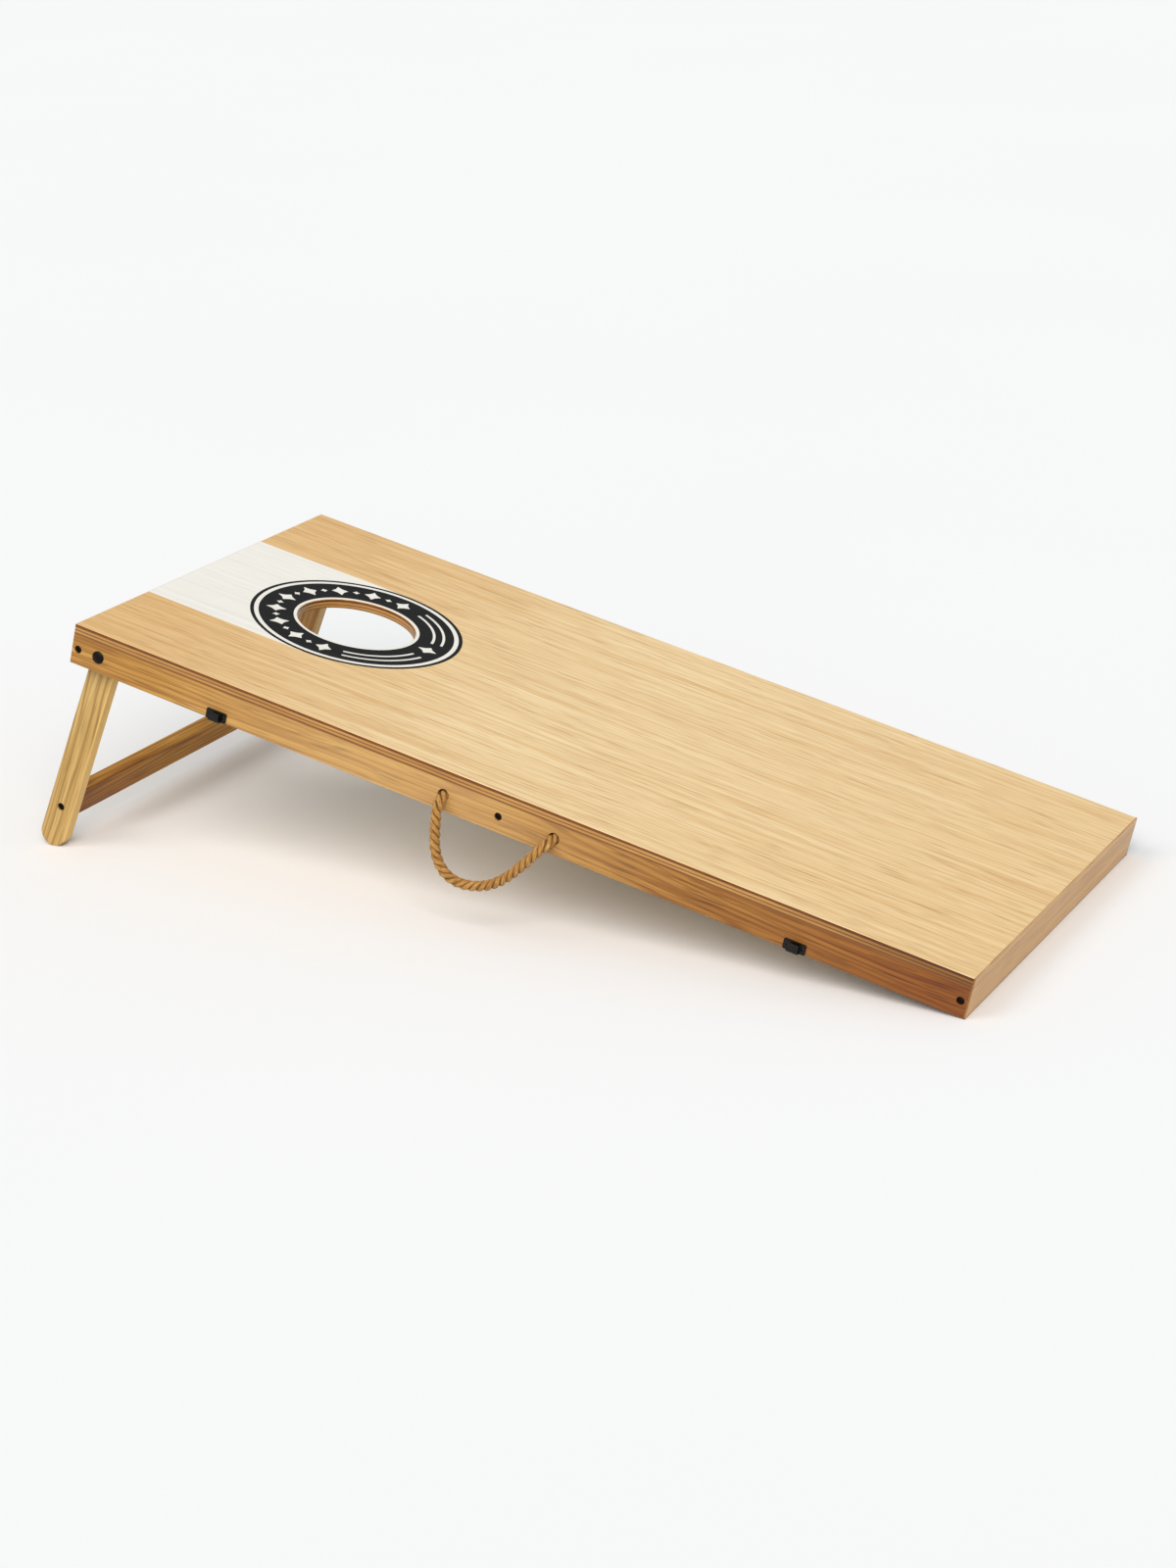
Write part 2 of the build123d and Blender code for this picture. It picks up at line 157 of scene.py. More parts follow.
class Shade:
    """A procedural material, built node by node around its Principled shader."""

    def __init__(self, name):
        self.material = bpy.data.materials.new(name)
        self.material.use_nodes = True
        self.tree = self.material.node_tree
        self.surface = self.tree.nodes["Principled BSDF"]

    def plug(self, node, values):
        """Links each value that is a socket, and sets the others."""
        for key, value in values.items():
            if isinstance(value, bpy.types.NodeSocket):
                self.tree.links.new(value, node.inputs[key])
            else:
                node.inputs[key].default_value = value

    def node(self, kind, values, out=0, **settings):
        """A new node's output. values go to its inputs, settings to the node itself."""
        node = self.tree.nodes.new("ShaderNode" + kind)
        for key, value in settings.items():
            setattr(node, key, value)
        self.plug(node, values)
        return node.outputs[out]

    def math(self, operation, a, b=0.0):
        return self.node("Math", {0: a, 1: b}, operation=operation)

    def place(self):
        return self.node("TexCoord", {}, out="Object")

    def place_from(self, origin):
        values = {0: self.place(), 1: tuple(origin)}
        return self.node("VectorMath", values, operation="SUBTRACT")

    def along(self, vector, axis):
        """The vector's length along a direction."""
        values = {0: vector, 1: tuple(axis)}
        return self.node("VectorMath", values, out="Value", operation="DOT_PRODUCT")

    def facing(self, axis):
        """How squarely the surface faces a direction, from -1 to 1."""
        return self.along(self.node("TexCoord", {}, out="Normal"), axis)

    def stretched(self, lengths, scales, offset=(0, 0, 0)):
        """The three lengths, each scaled and moved, as a place to read noise at."""
        moved = {}
        for i, (length, scale, move) in enumerate(zip(lengths, scales, offset)):
            values = {0: length, 1: scale, 2: move}
            moved[i] = self.node("Math", values, operation="MULTIPLY_ADD")
        return self.node("CombineXYZ", moved)

    def noise(self, vector, scale=1.0, detail=3.0, roughness=0.5, distortion=0.0):
        values = {"Vector": vector, "Scale": scale, "Detail": detail}
        values.update({"Roughness": roughness, "Distortion": distortion})
        return self.node("TexNoise", values)

    def ramp(self, value, stops):
        """A colour ramp from (position, colour) stops."""
        node = self.tree.nodes.new("ShaderNodeValToRGB")
        elements = node.color_ramp.elements
        for _ in stops[2:]:
            elements.new(0.5)
        for element, (position, colour) in zip(elements, stops):
            element.position = position
            element.color = (*colour, 1)
        self.plug(node, {0: value})
        return node.outputs[0]

    def level(self, value, low, high, to_low=0.0, to_high=1.0):
        """Maps low to high onto to_low to to_high, and stops at both ends."""
        values = {0: value, 1: low, 2: high, 3: to_low, 4: to_high}
        return self.node("MapRange", values, clamp=True)

    def mix(self, factor, a, b, blend="MIX"):
        """Blends colour b over colour a. Each colour is a socket or a linear colour."""
        under, over = [
            (*colour, 1) if isinstance(colour, tuple) else colour for colour in (a, b)
        ]
        values = {0: factor, 6: under, 7: over}
        return self.node("Mix", values, out=2, data_type="RGBA", blend_type=blend)

    def bump(self, height, depth, strength):
        values = {"Strength": strength, "Distance": depth, "Height": height}
        self.plug(self.surface, {"Normal": self.node("Bump", values)})

    def finish(self, colour, roughness, **sockets):
        """The finished material. Underscores in a socket's name stand for its spaces."""
        self.plug(self.surface, {"Base Color": colour, "Roughness": roughness})
        for key, value in sockets.items():
            self.surface.inputs[key.replace("_", " ")].default_value = value
        return self.material


def tone(red, green, blue):
    """A linear colour from its 0 to 255 screen values."""
    return tuple(
        value / 12.92 if value < 0.04045 else ((value + 0.055) / 1.055) ** 2.4
        for value in (red / 255, green / 255, blue / 255)
    )


def grey(value):
    return (value, value, value)


# ---------------------------------------------------------------- woods


def grain(shade, lengths, seed, figure, lines):
    """Growth lines, broad patches, fibres and pores of wood that grows along the first length.

    figure stretches the growth lines, and lines is how close together they lie. The offsets and
    scales are uneven on purpose, because noise goes flat where it is read at whole numbers.
    """
    warp = shade.noise(shade.stretched(lengths, figure, (seed, 0, 0)), 1.0, 2.0, 0.45, 0.25)
    wave = shade.math("SINE", shade.math("MULTIPLY", warp, lines))
    growth = shade.math("POWER", shade.level(wave, -1.0, 1.0), 3.6)
    broad = shade.noise(shade.stretched(lengths, (0.9, 11, 11), (seed, 3, 0)), 1.0, 2.0)
    streak = shade.noise(shade.stretched(lengths, (2.0, 150, 150), (seed, 0.3, 5.4)), 1.0, 4.0, 0.6)
    fibre = shade.noise(shade.stretched(lengths, (16, 621, 617), (0, seed, 0.4)), 1.0, 3.0, 0.6)
    pit = shade.noise(shade.stretched(lengths, (15, 521, 517), (0, 0.35, seed)), 1.0, 1.0)
    pore = shade.level(pit, 0.59, 0.68)
    line_place = shade.stretched(lengths, (5.0, 291, 287), (seed, 7.3, 0.4))
    line = shade.noise(line_place, 1.0, 2.0, 0.5, 0.1)
    return growth, broad, streak, line, fibre, pore


def wood(name, origin, axes, seed, tones, figure, lines, amounts):
    """Bare wood. tones are light, middle, dark and pore; amounts weigh growth and pores."""
    shade = Shade(name)
    place = shade.place_from(origin)
    lengths = [shade.along(place, axis) for axis in axes]
    sway = shade.noise(shade.stretched(lengths, (4.1, 4.7, 4.7), (seed, 2.2, 1.3)), 1.0, 2.0)
    sideways = shade.level(sway, 0.2, 0.8, -0.0035, 0.0035)
    swayed = [lengths[0]] + [shade.math("ADD", length, sideways) for length in lengths[1:]]
    growth, broad, streak, line, fibre, pore = grain(shade, swayed, seed, figure, lines)
    light, middle, dark, deep = tones
    base = shade.ramp(streak, [(0.30, dark), (0.47, middle), (0.66, light)])
    base = shade.mix(shade.level(broad, 0.36, 0.64, 0.0, 0.5), base, middle)
    base = shade.mix(shade.level(line, 0.32, 0.46, 0.6, 0.0), base, light)
    base = shade.mix(shade.level(line, 0.54, 0.67, 0.0, 0.6), base, dark)
    base = shade.mix(shade.math("MULTIPLY", growth, amounts[0]), base, dark)
    base = shade.mix(shade.level(fibre, 0.35, 0.65, 0.16, 0.0), base, dark)
    base = shade.mix(shade.math("MULTIPLY", pore, amounts[1]), base, deep)
    return shade, lengths, base, growth, fibre, pore


def varnish(shade, colour, growth, fibre, pore, roughness=0.4, gloss=0.36):
    """Finishes a wood with a thin varnish that follows its growth lines, fibres and pores."""
    ridge = shade.math("MULTIPLY", growth, 0.25)
    height = shade.math("SUBTRACT", shade.math("ADD", ridge, fibre), pore)
    shade.bump(height, depth=0.00012, strength=0.35)
    rough = shade.level(fibre, 0.2, 0.8, roughness + 0.07, roughness - 0.05)
    return shade.finish(
        colour, rough, Coat_Weight=0.07, Coat_Roughness=0.3, Specular_IOR_Level=gloss
    )


def deck_material():
    """Face veneer, darker towards both ends, then the plies at the edge and a paler backing."""
    tones = (tone(250, 225, 177), tone(243, 212, 159), tone(222, 181, 121), tone(168, 116, 60))
    shade, lengths, veneer, growth, fibre, pore = wood(
        "deck_veneer", ORIGIN, BOARD_AXES, 2.7, tones, (0.16, 7.0, 7.0), 270.0, (0.40, 0.42)
    )
    back = shade.level(lengths[0], 0.05, 0.50, 0.85, 0.0)
    front = shade.level(lengths[0], 0.62, 1.15, 0.0, 0.27)
    veneer = shade.mix(shade.math("ADD", back, front), veneer, (0.86, 0.71, 0.51), "MULTIPLY")

    # The plies, by depth in millimetres, which drifts a little so that they aren't ruled.
    depth = shade.math("MULTIPLY", lengths[2], -1000.0)
    drift = shade.noise(shade.stretched(lengths, (5.0, 5.0, 0.0), (9, 1, 0)), 1.0, 3.0)
    deep = shade.math("ADD", depth, shade.level(drift, 0.25, 0.75, -0.4, 0.4))
    speck = shade.noise(shade.stretched(lengths, (60, 187, 730), (0.3, 0.4, 1)), 1.0, 3.0, 0.65)
    patch = shade.noise(shade.stretched(lengths, (9, 9.3, 240), (4, 0, 1)), 1.0, 3.0, 0.6)
    dark = shade.ramp(speck, [(0.3, tone(84, 44, 8)), (0.7, tone(126, 74, 22))])
    pale = shade.ramp(patch, [(0.3, tone(156, 108, 50)), (0.7, tone(190, 145, 82))])
    plies = shade.ramp(
        shade.math("DIVIDE", deep, 1000 * DECK_THICKNESS),
        [
            (0.0, grey(1.0)), (0.31, grey(1.0)), (0.35, grey(0.0)), (0.54, grey(0.0)),
            (0.58, grey(0.8)), (0.67, grey(0.8)), (0.71, grey(0.0)), (0.88, grey(0.0)),
            (0.94, grey(0.9)),
        ],
    )
    edge = shade.mix(plies, pale, dark)
    stain = shade.level(lengths[0], 0.92, 1.19)
    edge = shade.mix(stain, edge, (0.50, 0.40, 0.26), "MULTIPLY")

    backing = shade.ramp(patch, [(0.3, tone(226, 206, 174)), (0.7, tone(243, 226, 196))])
    backing = shade.mix(shade.math("MULTIPLY", growth, 0.3), backing, tone(204, 172, 130))
    colour = shade.mix(shade.level(depth, 0.5, 0.6), veneer, edge)
    underside = shade.level(shade.facing(UP), -0.8, -0.7, 1.0, 0.0)
    colour = shade.mix(underside, colour, backing)
    return varnish(shade, colour, growth, fibre, pore, 0.38)


def rail_material(name, seed):
    """A side rail's wood: paler at mid length, redder towards the front, dark under the deck."""
    tones = (tone(196, 152, 77), tone(179, 132, 59), tone(136, 86, 27), tone(78, 40, 10))
    shade, lengths, colour, growth, fibre, pore = wood(
        name, ORIGIN, BOARD_AXES, seed, tones, (0.62, 11.0, 11.0), 150.0, (0.70, 0.5)
    )
    pale = shade.math(
        "MULTIPLY",
        shade.level(lengths[0], 0.12, 0.40),
        shade.level(lengths[0], 0.55, 0.85, 0.30, 0.0),
    )
    colour = shade.mix(pale, colour, tone(214, 180, 128))
    reddish = shade.level(lengths[0], 0.55, 1.15, 0.0, 1.0)
    colour = shade.mix(reddish, colour, (0.52, 0.31, 0.13), "MULTIPLY")
    seam = shade.level(lengths[2], -DECK_THICKNESS - 0.0022, -DECK_THICKNESS - 0.0006)
    colour = shade.mix(seam, colour, tone(126, 80, 38))
    return varnish(shade, colour, growth, fibre, pore)


def cross_rail_material():
    tones = (tone(208, 164, 100), tone(188, 140, 78), tone(150, 98, 46), tone(98, 58, 24))
    shade, _, colour, growth, fibre, pore = wood(
        "cross_rail_wood", ORIGIN, CROSS_AXES, 1.3, tones, (0.8, 14, 14), 44.0, (0.5, 0.35)
    )
    return varnish(shade, colour, growth, fibre, pore, 0.42)


def fascia_material():
    """The front's veneer, darker along its lower edge and stained at its two ends."""
    tones = (tone(214, 170, 114), tone(202, 157, 101), tone(184, 138, 84), tone(118, 74, 32))
    shade, lengths, colour, growth, fibre, pore = wood(
        "fascia_veneer", ORIGIN, CROSS_AXES, 6.2, tones, (0.5, 16, 16), 40.0, (0.18, 0.3)
    )
    # The last few millimetres above the lower edge are darkened.
    darker_lower_edge = shade.level(lengths[2], -BOARD_DEPTH + 0.0008, -BOARD_DEPTH + 0.0030, 0.7, 0.0)
    colour = shade.mix(darker_lower_edge, colour, tone(128, 90, 52))
    sideways = shade.math("ABSOLUTE", shade.facing(ACROSS))
    colour = shade.mix(shade.level(sideways, 0.5, 0.8), colour, (0.47, 0.36, 0.24), "MULTIPLY")
    return varnish(shade, colour, growth, fibre, pore, 0.42)


def leg_material(name, seed, tones):
    """A leg's wood, with painted light on its paler narrow front face."""
    shade, lengths, colour, growth, fibre, pore = wood(
        name, PIVOT, LEG_AXES, seed, tones, (0.22, 9, 9), 270.0, (0.68, 0.35)
    )
    # Painted light: the narrow front face is lightened as if lit from the front.
    front = shade.level(lengths[1], LEG_HALF_WIDTH - 0.0020, LEG_HALF_WIDTH - 0.0005, 0.0, 0.65)
    colour = shade.mix(front, colour, tone(238, 196, 116))
    return varnish(shade, colour, growth, fibre, pore, 0.42)


def stretcher_material():
    """The stretcher's wood, with painted shade on its front face, darkest towards the left leg."""
    tones = (tone(222, 168, 76), tone(200, 143, 52), tone(144, 85, 18), tone(88, 48, 8))
    shade, lengths, colour, growth, fibre, pore = wood(
        "stretcher_wood", PIVOT, STRETCHER_AXES, 8.8, tones, (0.3, 11, 11), 190.0, (0.68, 0.4)
    )
    front = STRETCHER_HALF_THICKNESS
    # Painted shade: the front face is darkened, and most of all towards the left leg.
    face = shade.level(lengths[1], front - 0.0028, front - 0.0010)
    shade_towards_left = shade.level(lengths[0], -0.26, 0.04, 1.0, 0.1)
    stain = shade.math("MULTIPLY", face, shade_towards_left)
    colour = shade.mix(stain, colour, (0.40, 0.27, 0.10), "MULTIPLY")
    return varnish(shade, colour, growth, fibre, pore, 0.42, 0.16)


# ---------------------------------------------------------------- metal, paint and rope


def black_material(name, low, high, metal, gloss):
    """Blackened steel with a fine cast surface and smears of oil."""
    shade = Shade(name)
    place = shade.place()
    cast = shade.noise(place, 900.0, 3.0, 0.6)
    smear = shade.noise(place, 160.0, 2.0)
    colour = shade.ramp(smear, [(0.3, low), (0.7, high)])
    rough = shade.level(smear, 0.3, 0.7, 0.34, 0.52)
    shade.bump(cast, depth=0.00004, strength=0.5)
    return shade.finish(colour, rough, Metallic=metal, Specular_IOR_Level=gloss)


def plated_material():
    shade = Shade("zinc_plated_steel")
    place = shade.place()
    spangle = shade.noise(place, 420.0, 3.0, 0.6)
    colour = shade.ramp(spangle, [(0.3, tone(150, 152, 156)), (0.7, tone(200, 200, 202))])
    rough = shade.level(spangle, 0.3, 0.7, 0.26, 0.42)
    shade.bump(spangle, depth=0.00003, strength=0.4)
    return shade.finish(colour, rough, Metallic=1.0)


def paint_material(name, low, high):
    """Screen-printed ink that shows the veneer's fibres beneath it."""
    shade = Shade(name)
    place = shade.place_from(ORIGIN)
    lengths = [shade.along(place, axis) for axis in BOARD_AXES]
    fibre = shade.noise(shade.stretched(lengths, (16, 620, 620)), 1.0, 3.0, 0.6)
    streak = shade.noise(shade.stretched(lengths, (2.2, 115, 115)), 1.0, 4.0, 0.6)
    both = shade.math("MULTIPLY", shade.math("ADD", fibre, streak), 0.5)
    colour = shade.ramp(both, [(0.36, low), (0.60, high)])
    rough = shade.level(fibre, 0.3, 0.7, 0.66, 0.54)
    shade.bump(both, depth=0.0001, strength=0.3)
    return shade.finish(colour, rough, Specular_IOR_Level=0.22)


def rope_material():
    """Laid plant fibre.

    The mesh's strand attribute holds the length and the angle on each strand. Its relief is how
    far a point lies from the rope's middle, as a part of the rope's radius.
    """
    shade = Shade("laid_rope_fibre")
    strand = shade.node("Attribute", {}, out="Vector", attribute_name="strand")
    split = shade.node("SeparateXYZ", {0: strand}).node
    run, turn, other_turn = split.outputs
    run = shade.math("MULTIPLY", run, 90.0)
    yarn_place = shade.node("CombineXYZ", {0: run, 1: turn, 2: other_turn})
    yarn = shade.noise(yarn_place, 3.0, 4.0, 0.65)
    fine = shade.noise(yarn_place, 11.0, 3.0, 0.7)
    blotch = shade.noise(shade.place(), 45.0, 2.0)
    colour = shade.ramp(
        yarn,
        [(0.32, tone(104, 62, 22)), (0.48, tone(170, 120, 58)), (0.63, tone(222, 176, 106))],
    )
    colour = shade.mix(shade.level(blotch, 0.35, 0.65, 0.0, 0.3), colour, tone(136, 90, 42))
    colour = shade.mix(shade.level(fine, 0.55, 0.75, 0.0, 0.4), colour, tone(222, 186, 130))
    relief = shade.node("Attribute", {}, out="Fac", attribute_name="relief")
    # Painted shade: the grooves between the strands, where the relief is low, are darkened.
    colour = shade.mix(shade.level(relief, 0.50, 0.95, 0.95, 0.0), colour, tone(46, 24, 6))
    shade.bump(shade.math("ADD", yarn, fine), depth=0.0005, strength=0.8)
    return shade.finish(
        colour, 0.82, Sheen_Weight=0.06, Sheen_Roughness=0.5, Specular_IOR_Level=0.1
    )


def floor_material():
    shade = Shade("studio_floor")
    cloud = shade.noise(shade.place(), 0.6, 2.0)
    colour = shade.ramp(cloud, [(0.3, grey(0.905)), (0.7, grey(0.915))])
    return shade.finish(colour, 1.0, Specular_IOR_Level=0.0)


deck_wood = deck_material()
left_rail_wood = rail_material("left_rail_wood", 4.1)
right_rail_wood = rail_material("right_rail_wood", 7.9)
cross_rail_wood = cross_rail_material()
fascia_wood = fascia_material()

left_leg_tones = (tone(200, 170, 107), tone(184, 149, 85), tone(138, 98, 40), tone(96, 60, 22))
# Painted shade: the right leg is a darker, redder copy of the left leg's wood, for the shade it lies in under the
# deck.
right_leg_shaded_tones = (tone(188, 144, 80), tone(172, 124, 60), tone(128, 82, 30), tone(90, 54, 18))
left_leg_wood = leg_material("left_leg_wood", 5.6, left_leg_tones)
right_leg_shaded_wood = leg_material("right_leg_shaded_wood", 3.4, right_leg_shaded_tones)
stretcher_wood = stretcher_material()
black_steel = black_material("black_oxide_steel", tone(12, 9, 7), tone(27, 23, 19), 0.35, 0.36)
black_heads = black_material("blackened_heads", tone(11, 6, 3), tone(20, 12, 6), 0.0, 0.12)
plated_steel = plated_material()
black_ink = paint_material("black_ink", tone(13, 9, 6), tone(21, 16, 12))
white_ink = paint_material("white_ink", tone(230, 226, 216), tone(242, 239, 231))
rope_fibre = rope_material()

own_material = {
    "deck_panel": deck_wood,
    "front_fascia": fascia_wood,
    "left_side_rail": left_rail_wood,
    "right_side_rail": right_rail_wood,
    "back_rail": cross_rail_wood,
    "centre_rail": cross_rail_wood,
    "front_rail": cross_rail_wood,
    "left_leg": left_leg_wood,
    "right_leg": right_leg_shaded_wood,
    "leg_stretcher": stretcher_wood,
    "left_frame_screws": black_heads,
    "right_frame_screws": black_heads,
    "stretcher_screws": black_heads,
    "left_pivot_bolt": black_heads,
    "right_pivot_bolt": black_heads,
}
by_slot = {"black_steel": black_steel, "plated_steel": plated_steel, "rope_fibre": rope_fibre}
for part in frame["record"]["subparts"]:
    node = frame["nodes"][part["node"]]
    material = own_material.get(part["node"]) or by_slot[part["material_slot"]]
    for holder in node.material_slots:
        holder.material = material

# ---------------------------------------------------------------- mesh helpers

BAND_STEP = 1.5  # degrees


def mesh_piece(name, vertices, faces, material, slot, smooth=False):
    """A new mesh object. slot, the record's material slot or None for the floor, is not used."""
    mesh = bpy.data.meshes.new(name)
    mesh.from_pydata(vertices, [], faces)
    mesh.materials.append(material)
    mesh.polygons.foreach_set("use_smooth", [smooth] * len(mesh.polygons))
    piece = bpy.data.objects.new(name, mesh)
    bpy.context.scene.collection.objects.link(piece)
    return piece


def prism(outline, low, high):
    """A closed flat solid over a board outline that runs anticlockwise."""
    count = len(outline)
    vertices = [BOARD @ Vector((x, y, z)) for z in (low, high) for x, y in outline]
    faces = [tuple(reversed(range(count))), tuple(range(count, 2 * count))]
    for i in range(count):
        j = (i + 1) % count
        faces.append((i, j, count + j, count + i))
    return vertices, faces


def on_deck(angle, radius):
    """Board x and y at an angle in degrees, from the front, and a radius round the bag hole."""
    turn = math.radians(angle)
    return HOLE_FROM_BACK + radius * math.cos(turn), radius * math.sin(turn)


def band(inner, outer, low, high, start=0.0, stop=360.0):
    """A closed flat band round the bag hole, whole or between two angles."""
    whole = stop - start >= 360
    steps = max(6, round((stop - start) / BAND_STEP))
    count = steps if whole else steps + 1
    vertices = []
    for i in range(count):
        angle = start + (stop - start) * i / steps
        for radius, z in ((inner, low), (outer, low), (outer, high), (inner, high)):
            vertices.append(BOARD @ Vector((*on_deck(angle, radius), z)))
    faces = []
    for i in range(steps):
        here, there = 4 * i, 4 * ((i + 1) % count)
        for k in range(4):
            after = (k + 1) % 4
            faces.append((here + k, here + after, there + after, there + k))
    if not whole:
        last = 4 * steps
        faces += [(3, 2, 1, 0), (last, last + 1, last + 2, last + 3)]
    return vertices, faces


def merged(shapes):
    """Several solids' vertices and faces as one mesh's."""
    vertices, faces = [], []
    for some_vertices, some_faces in shapes:
        offset = len(vertices)
        vertices += some_vertices
        faces += [tuple(index + offset for index in face) for face in some_faces]
    return vertices, faces


# ---------------------------------------------------------------- printed ring and stripe

INK = 0.00012  # how thick each printed layer is
EASED_EDGE = 0.0012  # the stripe starts in front of the deck's eased back edge

# Radii round the bag hole: a white line, the wide black band, a white line and a black line.
RIM = HOLE_RADIUS + 0.0010
BAND_INNER = 0.0812
BAND_OUTER = 0.1262
LINE_INNER = 0.1320
RING_OUTER = 0.137

half_circle = [on_deck(angle, RING_OUTER) for angle in range(90, 272, 2)]
back_corners = [(EASED_EDGE, RING_OUTER), (EASED_EDGE, -RING_OUTER)]
stripe_outline = back_corners + half_circle[::-1]
stripe = mesh_piece("back_stripe", *prism(stripe_outline, 0.0, INK), white_ink, "paint_white")

black_band = mesh_piece(
    "ring_black_band",
    *merged([band(BAND_INNER, BAND_OUTER, 0.0, INK), band(LINE_INNER, RING_OUTER, 0.0, INK)]),
    black_ink,
    "paint_black",
)
white_lines = mesh_piece(
    "ring_white_lines",
    *merged([band(RIM, BAND_INNER, 0.0, INK), band(BAND_OUTER, LINE_INNER, 0.0, INK)]),
    white_ink,
    "paint_white",
)

# Generic ornaments on the black band: large and small marks in turn, and two pairs of arcs.
MARK_RADIUS = 0.1040
LARGE_MARK = (0.0130, 0.0108)
SMALL_MARK = (0.0048, 0.0048)
MARK_WAIST = 0.40
ARC_RADII = (0.0985, 0.1110)
ARC_WIDTH = 0.0034
ARC_SPANS = ((-70, -14), (14, 66))


def pointed_mark(angle, length, width):
    """A four-pointed mark that points outwards from the hole."""
    out = Vector((math.cos(math.radians(angle)), math.sin(math.radians(angle))))
    side = Vector((-out.y, out.x))
    centre = Vector((HOLE_FROM_BACK, 0)) + MARK_RADIUS * out
    tips = (length * out, width * side, -length * out, -width * side)
    points = []
    for tip, after in zip(tips, tips[1:] + tips[:1]):
        points.append(centre + tip)
        points.append(centre + MARK_WAIST * (tip + after))
    return prism([(point.x, point.y) for point in points], INK, 2 * INK)


marks = [pointed_mark(angle, *LARGE_MARK) for angle in range(84, 277, 24)]
marks += [pointed_mark(angle, *SMALL_MARK) for angle in range(96, 270, 24)]
marks += [pointed_mark(0, *LARGE_MARK)]
for radius in ARC_RADII:
    marks += [band(radius, radius + ARC_WIDTH, INK, 2 * INK, *span) for span in ARC_SPANS]
ornaments = mesh_piece("ring_ornaments", *merged(marks), white_ink, "paint_white")

# ---------------------------------------------------------------- rope handle and its knots

BACK_HOLE = (-0.0409, -0.283, 0.1625)  # where the rope leaves the rail's inner face
FRONT_HOLE = (0.1038, -0.283, 0.1312)

# The same points as the route in part.py, in metres: out of the back hole, down, round and back.
ROUTE = [
    (-0.0409, -0.2765, 0.1625),
    (-0.0409, -0.3130, 0.1625),
    (-0.0428, -0.3160, 0.1320),
    (-0.0433, -0.3180, 0.1050),
    (-0.0380, -0.3190, 0.0830),
    (-0.0200, -0.3200, 0.0650),
    (0.0100, -0.3200, 0.0620),
    (0.0380, -0.3200, 0.0705),
    (0.0620, -0.3185, 0.0885),
    (0.0860, -0.3155, 0.1125),
    (0.1038, -0.3130, 0.1312),
    (0.1038, -0.2765, 0.1312),
]


def line_points(name, route):
    """Points on the smooth line that this route's control points give."""
    data = bpy.data.curves.new(name, "CURVE")
    data.dimensions = "3D"
    data.resolution_u = 24
    spline = data.splines.new("NURBS")
    spline.points.add(len(route) - 1)
    for point, place in zip(spline.points, route):
        point.co = (*place, 1)
    spline.order_u = 3
    spline.use_endpoint_u = True
    holder = bpy.data.objects.new(name, data)
    bpy.context.scene.collection.objects.link(holder)
    bpy.context.view_layer.update()
    mesh = bpy.data.meshes.new_from_object(holder)
    points = [vertex.co.copy() for vertex in mesh.vertices]
    bpy.data.objects.remove(holder)
    bpy.data.meshes.remove(mesh)
    return points


def line_length(points):
    return sum((b - a).length for a, b in zip(points, points[1:]))


def even_points(points, step):
    """The same line in equal steps."""
    total = line_length(points)
    count = max(4, round(total / step))
    result, walked, index = [points[0].copy()], 0.0, 0
    for k in range(1, count):
        target = total * k / count
        while walked + (points[index + 1] - points[index]).length < target:
            walked += (points[index + 1] - points[index]).length
            index += 1
        run = points[index + 1] - points[index]
        result.append(points[index] + run * ((target - walked) / run.length))
    result.append(points[-1].copy())
    return result


def carried_frames(points):
    """A side direction at each point that turns with the line but never spins about it."""
    tangents = [
        (points[min(i + 1, len(points) - 1)] - points[max(i - 1, 0)]).normalized()
        for i in range(len(points))
    ]
    side = tangents[0].orthogonal().normalized()
    sides = []
    for tangent in tangents:
        side = (side - tangent * side.dot(tangent)).normalized()
        sides.append(side)
    return tangents, sides


STRANDS = 3
PITCH = 0.031  # along the rope, for one turn of a strand
STRAND_RADIUS = 0.00305
STRAND_OFFSET = 0.00345  # from the rope's middle to each strand's
YARNS = 5  # ridges round each strand
YARN_RIDGE = 0.050  # as a part of the strand's radius, as the next is
SWELL = 0.035
TAPER_STEPS = 6
TAPER_TO = 0.55
ROPE_STEP = 0.0011
AROUND_STRAND = 14
AROUND_HAIR = 3
HAIR_ROOT = 0.0052
HAIR_RADIUS = 0.00011
BARE_END = 14  # steps at each end with no stray fibres


class RopeMesh:
    """Collects a rope's points, its faces and the two values that its material reads."""

    def __init__(self):
        self.vertices = []
        self.faces = []
        self.strand = []
        self.relief = []

    def point(self, place, strand, relief):
        self.vertices.append(place)
        self.strand.append(strand)
        self.relief.append(relief)

    def skin(self, first, around, rings):
        """The sides and both ends of a tube whose rings of points start at first."""
        for ring in range(rings - 1):
            start = first + ring * around
            for k in range(around):
                a, b = start + k, start + (k + 1) % around
                self.faces.append((a, b, b + around, a + around))
        last = first + (rings - 1) * around
        self.faces.append(tuple(reversed(range(first, first + around))))
        self.faces.append(tuple(range(last, last + around)))


